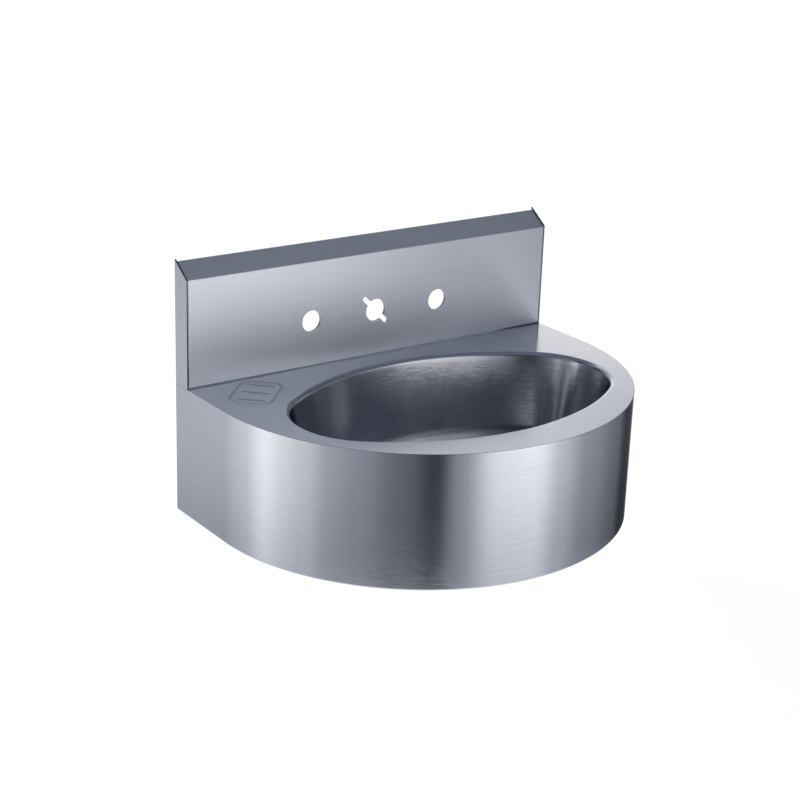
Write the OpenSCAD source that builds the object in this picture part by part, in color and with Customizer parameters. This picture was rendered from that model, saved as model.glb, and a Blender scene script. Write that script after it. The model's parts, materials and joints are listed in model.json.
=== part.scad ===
// Wall-hung hand wash basin in brushed stainless steel sheet.
// A D-shaped deck carries a drawn oval bowl, a deep apron hangs from its edge, and a hollow
// upstand with a sloping top holds two tap holes and a spout hole.
// Units are millimetres. The origin is on the wall plane and the centreline, at deck level:
// +X is the user's right, -Y points from the wall to the user, and +Z is up.

/* [Basin] */
// Width from side to side
basin_w = 500; // [480:5:560]
// Depth from the wall to the front of the apron
basin_d = 357; // [350:1:380]
// Height of the apron, deck surface to hem
apron_h = 153; // [140:1:190]
// Width of the hem folded inwards at the foot of the apron
hem_w = 12; // [8:1:16]
// Thickness of the stainless sheet
sheet = 1.5; // [1.2:0.1:2]
// Radius left on the welded edge between deck and apron
edge_r = 1; // [0.5:0.1:1.1]
// Outer radius of the folded corners
bend_r = 2; // [1.5:0.1:3]

/* [Upstand] */
// Height of the front panel above the deck
upstand_h = 124; // [115:1:150]
// Depth from the wall to the front panel
upstand_d = 26; // [24:1:36]
// Rise of the sloping top from front to wall
top_rise = 18; // [10:1:24]
// Height of the rear return that hangs from the top's wall edge
return_h = 20; // [17:1:24]
// Height of the deck's upturn against the wall
upturn_h = 20; // [12:1:24]
// Thickness of the end caps
cap_t = 2; // [1.5:0.1:2.5]
// Height that the end caps stand proud of the sloping top
cap_proud = 1.2; // [0.5:0.1:2]

/* [Bowl] */
// Length of the oval, between the inner faces of the wall at the rim
bowl_l = 399; // [380:1:404]
// Width of the oval, between the inner faces of the wall at the rim
bowl_w = 243; // [235:1:251]
// Radius of the oval's two ends
bowl_end_r = 82.5; // [76:0.5:88]
// Depth from the deck to the edge of the bowl floor
bowl_depth = 120; // [105:1:125]
// Flat ledge between the upstand and the rim
back_ledge = 32; // [28:1:40]
// Radius of the rolled rim
rim_r = 4.5; // [3.5:0.5:7]
// Straight lip below the rolled rim
lip_h = 4.5; // [2:0.5:6]
// Draft of the bowl wall, in degrees
wall_draft = 12; // [8:0.5:13]
// Radius between wall and floor
floor_r = 45; // [38:1:50]
// Fall of the bowl floor towards the waste, in degrees
floor_fall = 2.5; // [1.5:0.5:3.5]

/* [Tap holes] */
// Height of the holes' centres above the deck
hole_z = 54; // [50:1:60]
// Distance between the two tap holes
tap_spacing = 177; // [150:1:200]
// Diameter of a tap hole
tap_hole_d = 25.4; // [22:0.1:28]
// Diameter of the spout hole
spout_hole_d = 27.2; // [24:0.1:30]
// Width of the spout hole's two keying notches
notch_w = 5.5; // [4:0.5:7]
// Distance from the spout hole's centre to the end of a notch
notch_reach = 24.5; // [20:0.5:26]
// Thickness of the plate behind the holes
backing_t = 2.5; // [2:0.1:3]
// Length of the plate behind the holes
backing_l = 256; // [250:1:280]
// Height of the plate behind the holes
backing_h = 58; // [54:1:64]

/* [Soap recess] */
// Length of the recess, along its diagonal
soap_l = 72; // [60:1:76]
// Width of the recess
soap_w = 50; // [38:1:52]
// Depth of the recess
soap_depth = 2; // [1.5:0.1:3]
// Radius of its corners
soap_corner_r = 11; // [8:1:14]
// Number of ribs that keep the soap dry
soap_ribs = 3; // [2:1:4]
// Length of a rib
soap_rib_l = 30; // [20:1:32]
// Width of a rib
soap_rib_w = 4.4; // [3:0.2:6]

/* [Wall fixing] */
// Thickness of the hanger on the wall and of the rail that hooks on it
hanger_t = 2; // [1.5:0.1:2.5]
// Distance from the upstand's rear return down to the hook's seat
hook_drop = 14; // [10:1:18]
// Height of the hanger's plate below the seat
hanger_h = 38; // [34:1:42]
// Height of the hanger's raised lip
hook_h = 11; // [8:1:12]
// Distance from the basin's side to its outer wall fixings
fixing_inset = 25; // [20:1:30]
// Distance between the upper and lower wall fixings
fixing_h = 200; // [180:1:220]
// Distance between the hanger's two middle fixings
fixing_mid_w = 150; // [120:5:200]
// Diameter of a wall fixing hole
fixing_hole_d = 8; // [7:0.5:9]
// Leg of the corner brackets along the wall
bracket_wall_l = 40; // [36:1:44]
// Leg of the corner brackets along the apron
bracket_side_l = 32; // [25:1:40]
// Thickness of the corner brackets
bracket_t = 3; // [2.5:0.1:4]

/* [Bracing] */
// Leg of the angles under the sides of the deck
side_angle_leg = 16; // [12:1:17]
// Width of the curved bar under the front of the deck
front_bar_w = 18; // [14:1:19]
// Thickness of the curved bar
front_bar_t = 3; // [2:0.5:4]
// Angle that the curved bar covers, in degrees
front_bar_span = 80; // [60:5:84]
// Length of a sound-deadening pad under the bowl
pad_l = 66; // [56:1:70]
// Width of a sound-deadening pad
pad_w = 72; // [60:1:76]
// Thickness of a sound-deadening pad
pad_t = 3; // [2:0.5:4]

/* [Waste] */
// Diameter of the waste flange
waste_flange_d = 63; // [60:1:66]
// Thickness of the waste flange
waste_flange_t = 3; // [3:0.5:4]
// Outside diameter of the threaded tail
waste_tail_d = 41.9; // [40:0.1:43]
// Wall of the threaded tail
waste_wall = 3.4; // [2.5:0.1:4]
// Length of the tail below the flange
waste_tail_l = 60; // [50:1:70]
// Thickness of the seal under the flange
top_seal_t = 2; // [1.5:0.5:3]
// Thickness of the seal under the bowl
bottom_seal_t = 3; // [2:0.5:4]
// Outside diameter of the lower seal
bottom_seal_d = 62; // [58:1:64]
// Thickness of the washer under the lower seal
slip_washer_t = 1.5; // [1:0.1:2]
// Width across the flats of the backnut
backnut_af = 54; // [52:1:58]
// Thickness of the backnut
backnut_t = 9; // [7:1:12]
// Diameter of the grid
grid_d = 44; // [43:0.5:45]
// Thickness of the grid
grid_t = 1.8; // [1.5:0.1:2]
// Diameter of the holes in the grid
grid_hole_d = 5; // [4:0.2:5.4]

/* [Earth point] */
// Side of the earth tag's two square legs
tag_w = 20; // [18:1:24]
// Thickness of the earth tag
tag_t = 2; // [1.5:0.1:3]
// Diameter of the earth bolt
earth_bolt_d = 6; // [5:0.5:6]
// Length of the earth bolt under its head
earth_bolt_l = 18; // [15:1:22]

/* [Hidden] */
$fn = 120;

// Colours of the materials
steel = "#b9bec7";
inner_steel = "#a3a8b0";
polished = "#cfd2d6";
rubber = "#2e2e30";
bitumen = "#3c3d40";
brass = "#b5965a";
zinc = "#8f959c";

// Overrun of every cut past the face it breaks
over = 1;
// Straight steps that draw a quarter of a small round, and the bowl's large one
bend_steps = 6;
floor_steps = 14;

// Deck and apron
half_w = basin_w / 2;
side_l = basin_d - half_w;
inner_half_w = half_w - sheet;
cap_inner_x = half_w - cap_t;
top_z = upstand_h + top_rise;
panel_back = upstand_d - sheet;

// The bowl's oval has four centres: one for each end and one for each long side
half_l = bowl_l / 2;
half_b = bowl_w / 2;
bowl_y = -(upstand_d + back_ledge + rim_r + half_b);
bowl_top = -(rim_r + lip_h);
end_c = half_l - bowl_end_r;
end_gap = half_b - bowl_end_r;
side_c = (end_c * end_c - end_gap * end_gap) / (2 * end_gap);
side_r = half_b + side_c;
oval_reach = 2;

// Centre of the round between wall and floor, and the floor's highest and lowest points
fillet_z = floor_r - bowl_depth;
fillet_x = -(bowl_top - fillet_z) * tan(wall_draft) - floor_r / cos(wall_draft);
floor_edge_x = fillet_x + floor_r * sin(floor_fall);
floor_edge_z = fillet_z - floor_r * cos(floor_fall);
floor_low = floor_edge_z - (floor_edge_x + half_b) * tan(floor_fall);

// The soap recess lies across the left back corner of the deck
soap_side = 61;
soap_back = 45;
soap_turn = 45;
soap_x = soap_side - half_w;
soap_y = -(upstand_d + soap_back);
rib_rise_share = 0.7;
round_end_share = 0.46;

// Slot in the deck that lets the supply pipes down from the upstand
pipe_slot_l = 230;
pipe_slot_edge = 3;
pipe_slot_r = 4;

// The rail hangs in the hanger's hook, below the upstand's rear return
hook_gap = 1.5;
rail_gap = 1.5;
hook_z = top_z - return_h - hook_drop;
hook_pocket = sheet + hanger_t + hook_gap;
top_slope = atan2(top_rise, upstand_d);
rail_back = sheet + hanger_t;
rail_top = top_z - rail_back * tan(top_slope) - sheet / cos(top_slope) - rail_gap;
hanger_end_gap = 5;
fixing_w = basin_w - 2 * fixing_inset;
fixing_top_z = hook_z - hanger_h / 2;
fixing_low_z = fixing_top_z - fixing_h;

// Bracing
bracing_gap = 6;
front_bar_gap = 4;
front_bar_r = inner_half_w - front_bar_gap;
pad_gap = 11.5;

// Earth point, under the deck at the right
tag_side = 50;
tag_back = 14;
tag_x = half_w - tag_side - tag_w / 2;
tag_y = -(upstand_d + tag_back);
tag_hole_share = 0.58;
earth_z = -(sheet + tag_w * tag_hole_share);
earth_clear = 0.2;
thread_clear = 0.05;
earth_af = 10;
earth_head_t = 4;
earth_nut_t = 5;
earth_washer_t = 1.2;
earth_washer_d = 12;
earth_head_y = tag_y - tag_t - earth_washer_t;

// Waste, on the bowl's centre: the flange lies flush in a recess of the floor
waste_gap = 1.5;
waste_hole_clear = 1;
flange_edge = 1;
tail_r = waste_tail_d / 2;
tail_in_r = tail_r - waste_wall;
flange_r = waste_flange_d / 2;
recess_r = flange_r + waste_gap;
flange_under = floor_low - waste_flange_t;
seat_z = flange_under - top_seal_t;
under_z = seat_z - sheet;
waste_hole_r = tail_r + waste_hole_clear;
grid_r = grid_d / 2;
grid_clear = 0.3;
grid_under = floor_low - grid_t;
grid_ring_shares = [0.39, 0.66];
grid_ring_holes = [6, 12];
bridge_w = 5;
bridge_h = 7;
boss_r = 5;
grid_screw_r = 2;
grid_screw_head_r = 4;
grid_screw_l = 12;
grid_screw_slot_w = 1;
grid_screw_slot_h = 0.8;
seal_inset = 1.5;
seal_clear = 0.3;
washer_inset = 1;
seal_base = under_z - bottom_seal_t;
washer_base = seal_base - slip_washer_t;
nut_base = washer_base - backnut_t;
tail_end = flange_under - waste_tail_l;
// A relief groove ends the backnut's thread
relief_gap = 0.5;
relief_h = 1.5;
relief_depth = 0.5;
relief_z = nut_base - relief_gap;

// Points along an arc
function arc(centre, r, from, to, steps) =
    [for (i = [0:steps])
        let (a = from + (to - from) * i / steps)
            centre + r * [cos(a), sin(a)]];

// Outline of a rectangle with round corners
function round_rect(l, w, r) =
    [for (corner = [[1, 1, 0], [-1, 1, 90], [-1, -1, 180], [1, -1, 270]])
        each arc([corner.x * (l / 2 - r), corner.y * (w / 2 - r)], r,
                 corner.z, corner.z + 90, bend_steps)];

function unit(v) = v / norm(v);
function left_of(v) = [-v.y, v.x];
function leg_before(path, i) = unit(path[i] - path[i - 1]);
function leg_after(path, i) = unit(path[i + 1] - path[i]);
function is_end(path, i) = i == 0 || i == len(path) - 1;

// The crossing of two lines, each through a point along a direction
function crossing(p, u, q, v) = p + u * cross(q - p, v) / cross(u, v);

// The path moved to its left by the thickness of the sheet
function shifted(path, t) =
    [for (i = [0:len(path) - 1])
        i == 0 ? path[i] + t * left_of(leg_after(path, i))
        : is_end(path, i) ? path[i] + t * left_of(leg_before(path, i))
        : crossing(path[i] + t * left_of(leg_before(path, i)), leg_before(path, i),
                   path[i] + t * left_of(leg_after(path, i)), leg_after(path, i))];

// A round of radius r that touches both legs at a corner
function bend(path, i, r) =
    let (u = -leg_before(path, i),
         v = leg_after(path, i),
         half = acos(u * v) / 2,
         centre = path[i] + unit(u + v) * r / sin(half),
         first = path[i] + u * r / tan(half) - centre,
         turn = (90 - half) * 2 * sign(cross(-u, v)),
         from = atan2(first.y, first.x))
    arc(centre, r, from, from + turn, bend_steps);

// The face of a folded sheet, round where the fold's outside is on this face
function face(path, r, side) =
    [for (i = [0:len(path) - 1])
        each is_end(path, i) || side * cross(leg_before(path, i), leg_after(path, i)) <= 0
            ? [path[i]] : bend(path, i, r)];

// Section of a folded sheet: the path runs along one face and the sheet lies to its left
module folded(path, t = sheet) {
    back = face(shifted(path, t), bend_r, -1);
    polygon(concat(face(path, bend_r, 1), [for (i = [len(back) - 1:-1:0]) back[i]]));
}

// Stretches a section drawn in Y and Z along X, over a length centred on x
module along_x(length, x = 0) {
    translate([x - length / 2, 0, 0])
        rotate([90, 0, 90])
            linear_extrude(length)
                children();
}

// Stretches a section drawn in X and Z towards the user, from y
module towards_user(length, y = 0) {
    translate([0, y, 0])
        rotate([90, 0, 0])
            linear_extrude(length)
                children();
}

// A part that has a left and a right hand is drawn on the right
module on_left() {
    mirror([1, 0, 0])
        children();
}

// Outline of the deck, moved in from the edge at the sides and front
module d_outline(inset) {
    r = half_w - inset;
    translate([0, -side_l])
        intersection() {
            circle(r);
            translate([-half_w, -half_w])
                square([basin_w, half_w]);
        }
    translate([-r, -side_l])
        square([2 * r, side_l]);
}

// Runs a section along the D-shaped edge. It is drawn with x measured out from the edge,
// and its straight sides start at the distance start from the wall
module around_d(start = 0) {
    translate([0, -side_l, 0])
        rotate(180)
            rotate_extrude(angle = 180)
                translate([half_w, 0])
                    children();
    for (side = [0, 1])
        mirror([side, 0, 0])
            towards_user(side_l - start, -start)
                translate([half_w, 0])
                    children();
}

// Revolves a section about its arc's centre, $reach behind the section's own zero
module full_turn(r) {
    rotate_extrude()
        translate([r, 0]) {
            $reach = r;
            children();
        }
}

// Keeps what lies over a polygon
module wedge(outline) {
    intersection() {
        children();
        translate([0, 0, -basin_d])
            linear_extrude(2 * basin_d)
                polygon(outline);
    }
}

// Runs a section round the four arcs of the oval. It is drawn with x measured out from the
// bowl's inner wall at the rim, and $reach is how far the arc's own centre lies behind it.
// Each wedge's slanted sides pass through the centres of both arcs that meet there, so that
// neighbouring pieces meet in one plane
module around_oval() {
    far = [end_c, 0] + oval_reach * [end_c, side_c];
    translate([0, bowl_y, 0])
        for (turn = [0, 180])
            rotate(turn) {
                wedge([[end_c, 0], [far.x, -far.y], far])
                    translate([end_c, 0, 0])
                        rotate(180)
                            full_turn(bowl_end_r)
                                children();
                wedge([[-end_c, 0], [end_c, 0], far, [-far.x, far.y]])
                    translate([0, -side_c, 0])
                        full_turn(side_r)
                            children();
            }
}

// The round and the floor of the bowl, grown outwards by grow, as far as an arc's centre.
// The floor falls at one slope, away from the wall on every side
function floor_line(grow, reach) =
    let (round_part = arc([fillet_x, fillet_z], floor_r + grow, -wall_draft,
                          floor_fall - 90, floor_steps),
         start = round_part[floor_steps])
    concat(round_part, [[-reach, start.y - (start.x + reach) * tan(floor_fall)]]);

// The space inside the bowl, from its centre to the wall, grown outwards by grow and open
// at the top by rise
module bowl_space(grow, rise = 0) {
    around_oval()
        polygon(concat(
            [[-$reach, bowl_top + rise],
             [grow / cos(wall_draft) + rise * tan(wall_draft), bowl_top + rise]],
            floor_line(grow, $reach)));
}

// The hole in the deck plate, out to where the rolled rim starts
module rim_hole() {
    around_oval()
        polygon([[-$reach, -sheet - over], [rim_r, -sheet - over],
                 [rim_r, over], [-$reach, over]]);
}

// The rolled rim: a quarter round and a short lip for the bowl to butt against
module rim_section() {
    centre = [rim_r, -rim_r];
    polygon(concat(
        [[0, bowl_top]],
        arc(centre, rim_r, 180, 90, bend_steps * 2),
        arc(centre, rim_r - sheet, 90, 180, bend_steps * 2),
        [[sheet, bowl_top]]));
}

// The welded edge of the deck, ground to a small radius
module edge_section() {
    polygon(concat(
        [[-2 * edge_r, -sheet], [0, -sheet]],
        arc([-edge_r, -edge_r], edge_r, 0, 90, bend_steps),
        [[-2 * edge_r, 0]]));
}

module soap_place() {
    translate([soap_x, soap_y, 0])
        rotate(soap_turn)
            children();
}

module soap_pan() {
    soap_place()
        translate([0, 0, -soap_depth - sheet])
            linear_extrude(soap_depth + sheet / 2)
                polygon(round_rect(soap_l + 2 * sheet, soap_w + 2 * sheet,
                                   soap_corner_r + sheet));
}

module soap_pocket() {
    soap_place()
        translate([0, 0, -soap_depth])
            linear_extrude(soap_depth + over)
                polygon(round_rect(soap_l, soap_w, soap_corner_r));
}

module soap_rib_row() {
    pitch = soap_l / soap_ribs;
    soap_place()
        for (i = [0:soap_ribs - 1])
            translate([(i - (soap_ribs - 1) / 2) * pitch, 0, -soap_depth - sheet / 2])
                linear_extrude(soap_depth * rib_rise_share + sheet / 2)
                    polygon(round_rect(soap_rib_w, soap_rib_l,
                                       soap_rib_w * round_end_share));
}

module pipe_slot() {
    front = panel_back - pipe_slot_edge;
    back = sheet + pipe_slot_edge;
    translate([0, -(front + back) / 2, -sheet - over])
        linear_extrude(sheet + 2 * over)
            polygon(round_rect(pipe_slot_l, front - back, pipe_slot_r));
}

module deck() {
    color(steel) {
        difference() {
            union() {
                difference() {
                    translate([0, 0, -sheet])
                        linear_extrude(sheet)
                            d_outline(edge_r);
                    rim_hole();
                }
                around_oval()
                    rim_section();
                around_d(upstand_d)
                    edge_section();
                // Square ends of the edge, under the end caps
                for (side = [0, 1])
                    mirror([side, 0, 0])
                        translate([half_w - 2 * edge_r, -upstand_d, -sheet])
                            cube([2 * edge_r, upstand_d, sheet]);
                // Upturn against the wall
                translate([-cap_inner_x, -sheet, -sheet])
                    cube([2 * cap_inner_x, sheet, upturn_h + sheet]);
                soap_pan();
            }
            soap_pocket();
            pipe_slot();
        }
        soap_rib_row();
    }
}

module bowl() {
    color(steel)
        difference() {
            union() {
                bowl_space(sheet);
                translate([0, bowl_y, under_z])
                    cylinder(r = recess_r + sheet, h = floor_edge_z - under_z);
            }
            bowl_space(0, over);
            translate([0, bowl_y, seat_z])
                cylinder(r = recess_r, h = floor_edge_z - seat_z);
            translate([0, bowl_y, under_z - over])
                cylinder(r = waste_hole_r, h = sheet + 2 * over);
        }
}

module apron() {
    color(steel)
        around_d()
            folded([[-hem_w, -apron_h], [0, -apron_h], [0, -sheet]]);
}

// The two tap holes and the keyed spout hole, through panel and backing plate
module upstand_holes() {
    depth = sheet + backing_t + 2 * over;
    translate([0, over - upstand_d + sheet + backing_t, hole_z])
        rotate([90, 0, 0]) {
            for (side = [-1, 1])
                translate([side * tap_spacing / 2, 0, 0])
                    cylinder(d = tap_hole_d, h = depth);
            cylinder(d = spout_hole_d, h = depth);
            rotate(-45)
                linear_extrude(depth)
                    polygon(round_rect(2 * notch_reach, notch_w, notch_w * round_end_share));
        }
}

module upstand_panel() {
    color(steel)
        difference() {
            along_x(2 * cap_inner_x)
                folded([[0, top_z - return_h], [0, top_z], [-upstand_d, upstand_h],
                        [-upstand_d, 0]]);
            upstand_holes();
        }
}

module end_cap_right() {
    color(steel)
        along_x(cap_t, half_w - cap_t / 2)
            polygon([[0, 0], [-upstand_d, 0], [-upstand_d, upstand_h + cap_proud],
                     [0, top_z + cap_proud]]);
}

module end_cap_left() {
    on_left()
        end_cap_right();
}

module tap_backing_plate() {
    color(inner_steel)
        difference() {
            translate([-backing_l / 2, -panel_back, hole_z - backing_h / 2])
                cube([backing_l, backing_t, backing_h]);
            upstand_holes();
        }
}

module hanging_rail() {
    color(inner_steel)
        translate([-fixing_w / 2, -rail_back, hook_z])
            cube([fixing_w, hanger_t, rail_top - hook_z]);
}

// A wall fixing hole, along Y
module fixing_hole(x, z) {
    depth = hook_pocket + bracket_t;
    translate([x, over, z])
        rotate([90, 0, 0])
            cylinder(d = fixing_hole_d, h = depth + over);
}

module wall_hanger() {
    color(zinc)
        difference() {
            along_x(2 * (cap_inner_x - hanger_end_gap))
                folded([[0, hook_z - hanger_h], [0, hook_z], [-hook_pocket, hook_z],
                        [-hook_pocket, hook_z + hook_h]], hanger_t);
            for (x = [-fixing_w, -fixing_mid_w, fixing_mid_w, fixing_w])
                fixing_hole(x / 2, fixing_top_z);
        }
}

module fixing_bracket_right() {
    color(inner_steel)
        difference() {
            translate([0, 0, sheet - apron_h])
                linear_extrude(apron_h - 2 * sheet)
                    folded([[inner_half_w, -bracket_side_l], [inner_half_w, 0],
                            [inner_half_w - bracket_wall_l, 0]], bracket_t);
            fixing_hole(fixing_w / 2, fixing_low_z);
        }
}

module fixing_bracket_left() {
    on_left()
        fixing_bracket_right();
}

module side_angle_right() {
    start = bracket_side_l + bracing_gap;
    color(inner_steel)
        towards_user(side_l - start, -start)
            folded([[inner_half_w, -sheet - side_angle_leg], [inner_half_w, -sheet],
                    [inner_half_w - side_angle_leg, -sheet]]);
}

module side_angle_left() {
    on_left()
        side_angle_right();
}

module front_bar() {
    color(inner_steel)
        translate([0, -side_l, -sheet - front_bar_t])
            rotate(-90 - front_bar_span / 2)
                rotate_extrude(angle = front_bar_span)
                    translate([front_bar_r - front_bar_w, 0])
                        square([front_bar_w, front_bar_t]);
}

// The pads follow the fall of the bowl's floor
module sound_pad_right() {
    height = bowl_depth;
    color(bitumen)
        intersection() {
            difference() {
                bowl_space(sheet + pad_t);
                bowl_space(sheet, over);
            }
            translate([recess_r + sheet + pad_gap, bowl_y - pad_w / 2, floor_low - height / 2])
                cube([pad_l, pad_w, height]);
        }
}

module sound_pad_left() {
    on_left()
        sound_pad_right();
}

module earth_tag() {
    color(inner_steel)
        difference() {
            along_x(tag_w, tag_x)
                folded([[tag_y, -sheet - tag_w], [tag_y, -sheet], [tag_y - tag_w, -sheet]],
                       tag_t);
            translate([tag_x, tag_y + over, earth_z])
                rotate([90, 0, 0])
                    cylinder(r = earth_bolt_d / 2 + earth_clear, h = tag_t + 2 * over);
        }
}

// Puts a turned piece on the earth bolt's axis, standing out towards the wall from y
module on_earth_axis(y) {
    translate([tag_x, y, earth_z])
        rotate([-90, 0, 0])
            children();
}

module hexagon(flats, h) {
    cylinder(d = flats / cos(30), h = h, $fn = 6);
}

module earth_bolt() {
    color(zinc)
        on_earth_axis(earth_head_y) {
            translate([0, 0, -earth_head_t])
                hexagon(earth_af, earth_head_t);
            cylinder(d = earth_bolt_d, h = earth_bolt_l);
        }
}

module ring(inner_r, outer_r, h) {
    difference() {
        cylinder(r = outer_r, h = h);
        translate([0, 0, -over])
            cylinder(r = inner_r, h = h + 2 * over);
    }
}

module earth_washers() {
    color(zinc)
        for (y = [earth_head_y, tag_y])
            on_earth_axis(y)
                ring(earth_bolt_d / 2 + earth_clear, earth_washer_d / 2, earth_washer_t);
}

module earth_nut() {
    color(zinc)
        on_earth_axis(tag_y + earth_washer_t)
            difference() {
                hexagon(earth_af, earth_nut_t);
                translate([0, 0, -over])
                    cylinder(r = earth_bolt_d / 2 + thread_clear, h = earth_nut_t + 2 * over);
            }
}

// Puts a turned piece of the waste on the bowl's centre, at the height z
module on_waste_axis(z) {
    translate([0, bowl_y, z])
        children();
}

module waste_body() {
    seat_r = grid_r + grid_clear;
    bridge_l = 2 * tail_in_r + waste_wall;
    color(polished)
        difference() {
            union() {
                on_waste_axis(0)
                    rotate_extrude()
                        polygon([[tail_in_r, tail_end], [tail_r, tail_end],
                                 [tail_r, relief_z - relief_h],
                                 [tail_r - relief_depth, relief_z - relief_h],
                                 [tail_r - relief_depth, relief_z], [tail_r, relief_z],
                                 [tail_r, flange_under], [flange_r, flange_under],
                                 [flange_r, floor_low - flange_edge],
                                 [flange_r - flange_edge, floor_low], [seat_r, floor_low],
                                 [seat_r, grid_under], [tail_in_r, grid_under]]);
                on_waste_axis(grid_under - bridge_h) {
                    translate([-bridge_l / 2, -bridge_w / 2, 0])
                        cube([bridge_l, bridge_w, bridge_h]);
                    cylinder(r = boss_r, h = bridge_h);
                }
            }
            on_waste_axis(grid_under - bridge_h - over)
                cylinder(r = grid_screw_r + thread_clear, h = bridge_h + 2 * over);
        }
}

module waste_grid() {
    color(polished)
        on_waste_axis(grid_under)
            difference() {
                cylinder(r = grid_r, h = grid_t);
                for (ring = [0:len(grid_ring_shares) - 1], i = [1:grid_ring_holes[ring]])
                    rotate(i * 360 / grid_ring_holes[ring])
                        translate([grid_r * grid_ring_shares[ring], 0, -over])
                            cylinder(d = grid_hole_d, h = grid_t + 2 * over);
                translate([0, 0, -over])
                    cylinder(r = grid_screw_r + grid_clear, h = grid_t + 2 * over);
                cylinder(r1 = grid_screw_r + grid_clear, r2 = grid_screw_head_r + grid_clear,
                         h = grid_t);
            }
}

module waste_grid_screw() {
    color(polished)
        on_waste_axis(floor_low)
            difference() {
                rotate_extrude()
                    polygon([[0, -grid_screw_l], [grid_screw_r, -grid_screw_l],
                             [grid_screw_r, -grid_t], [grid_screw_head_r, 0], [0, 0]]);
                translate([-grid_screw_head_r - over, -grid_screw_slot_w / 2,
                           -grid_screw_slot_h])
                    cube([2 * (grid_screw_head_r + over), grid_screw_slot_w,
                          grid_screw_slot_h + over]);
            }
}

module waste_top_seal() {
    color(rubber)
        on_waste_axis(seat_z)
            ring(tail_r + seal_clear, flange_r - seal_inset, top_seal_t);
}

module waste_bottom_seal() {
    color(rubber)
        on_waste_axis(seal_base)
            ring(tail_r + seal_clear, bottom_seal_d / 2, bottom_seal_t);
}

module waste_slip_washer() {
    color(polished)
        on_waste_axis(washer_base)
            ring(tail_r + seal_clear, bottom_seal_d / 2 - washer_inset, slip_washer_t);
}

module waste_backnut() {
    color(brass)
        on_waste_axis(nut_base)
            difference() {
                hexagon(backnut_af, backnut_t);
                translate([0, 0, -over])
                    cylinder(r = tail_r + thread_clear, h = backnut_t + 2 * over);
            }
}

deck();
bowl();
apron();
upstand_panel();
end_cap_left();
end_cap_right();
tap_backing_plate();
hanging_rail();
wall_hanger();
fixing_bracket_left();
fixing_bracket_right();
side_angle_left();
side_angle_right();
front_bar();
sound_pad_left();
sound_pad_right();
earth_tag();
earth_bolt();
earth_washers();
earth_nut();
waste_body();
waste_grid();
waste_grid_screw();
waste_top_seal();
waste_bottom_seal();
waste_slip_washer();
waste_backnut();
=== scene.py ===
# %% [markdown]
# A wall-hung hand wash sink in brushed stainless steel.
# The part's CAD model is loaded as a fixed frame. Every sheet that the eye rests on is then
# built again as a smooth mesh in the same place, because the frame's meshes are loose
# triangles, and polished steel shows each facet as a stripe.

import json
import math

import bmesh
import bpy
from mathutils import Matrix, Vector


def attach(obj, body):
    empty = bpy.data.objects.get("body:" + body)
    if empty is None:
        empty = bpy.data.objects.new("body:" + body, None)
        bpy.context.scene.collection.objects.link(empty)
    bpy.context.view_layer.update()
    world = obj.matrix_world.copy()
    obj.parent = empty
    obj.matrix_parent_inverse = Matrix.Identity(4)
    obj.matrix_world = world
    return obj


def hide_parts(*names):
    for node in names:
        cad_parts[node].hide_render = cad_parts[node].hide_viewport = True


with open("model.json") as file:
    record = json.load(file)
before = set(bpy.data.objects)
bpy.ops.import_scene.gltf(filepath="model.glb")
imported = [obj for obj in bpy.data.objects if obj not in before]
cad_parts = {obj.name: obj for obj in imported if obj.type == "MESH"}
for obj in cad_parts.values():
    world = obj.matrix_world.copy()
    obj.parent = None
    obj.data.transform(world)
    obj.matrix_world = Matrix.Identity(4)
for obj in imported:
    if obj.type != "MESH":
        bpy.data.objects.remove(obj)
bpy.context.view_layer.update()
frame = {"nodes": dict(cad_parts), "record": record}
nodes = frame["nodes"]
scene = bpy.context.scene

# %% [markdown]
# The sizes are in millimetres, as a sheet metal worker would write them on a drawing. They
# are the CAD model's own values, so that each new mesh lies where its node lies. A few values
# differ a little, where the photo shows how an edge catches the light: the rolled rim, the
# ground edge, the soap recess, the spout hole's notches, the gaps round the panel and the
# left end cap. One factor turns millimetres into Blender's metres.

# %% Sizes
MM = 0.001
HALF_W = 250.0
DEPTH = 357.0
SIDE_L = DEPTH - HALF_W
SHEET = 1.5
APRON_H = 153.0
HEM_W = 12.0
BEND_R = 2.0
EDGE_R = 0.5

UPSTAND_H = 124.0
UPSTAND_D = 26.0
TOP_Z = 142.0
RETURN_Z = 122.0
UPTURN_H = 20.0
CAP_T = 2.0

BOWL_Y = -184.0
END_R = 82.5
END_C = 117.0
SIDE_C = 156.0
SIDE_R = 277.5
RIM_R = 6.5
BOWL_TOP = -9.0
DRAFT = math.radians(12)
FALL = math.radians(2.5)
FLOOR_R = 45.0
BOWL_DEPTH = 120.0

# %% [markdown]
# A few small helpers carry every mesh in this file. The first makes an object from points in
# millimetres. The others settle how the light reads it: faces turn outwards, edges sharper
# than a given angle stay sharp, and face-weighted normals keep large flat areas flat right
# up to a small round, which is what a folded sheet looks like.

# %% Mesh helpers
SHARP = math.radians(32)
WELD_M = 1e-6


def link_object(name, mesh):
    obj = bpy.data.objects.new(name, mesh)
    scene.collection.objects.link(obj)
    return obj


def make_object(name, points, faces=(), edges=()):
    mesh = bpy.data.meshes.new(name)
    mesh.from_pydata([[c * MM for c in p] for p in points], edges, faces)
    return link_object(name, mesh)


def tidy_mesh(obj):
    bm = bmesh.new()
    bm.from_mesh(obj.data)
    bmesh.ops.remove_doubles(bm, verts=bm.verts, dist=WELD_M)
    bmesh.ops.recalc_face_normals(bm, faces=bm.faces)
    bm.to_mesh(obj.data)
    bm.free()


def apply_modifiers(obj):
    depsgraph = bpy.context.evaluated_depsgraph_get()
    depsgraph.update()
    mesh = bpy.data.meshes.new_from_object(obj.evaluated_get(depsgraph))
    obj.modifiers.clear()
    obj.data = mesh


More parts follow.
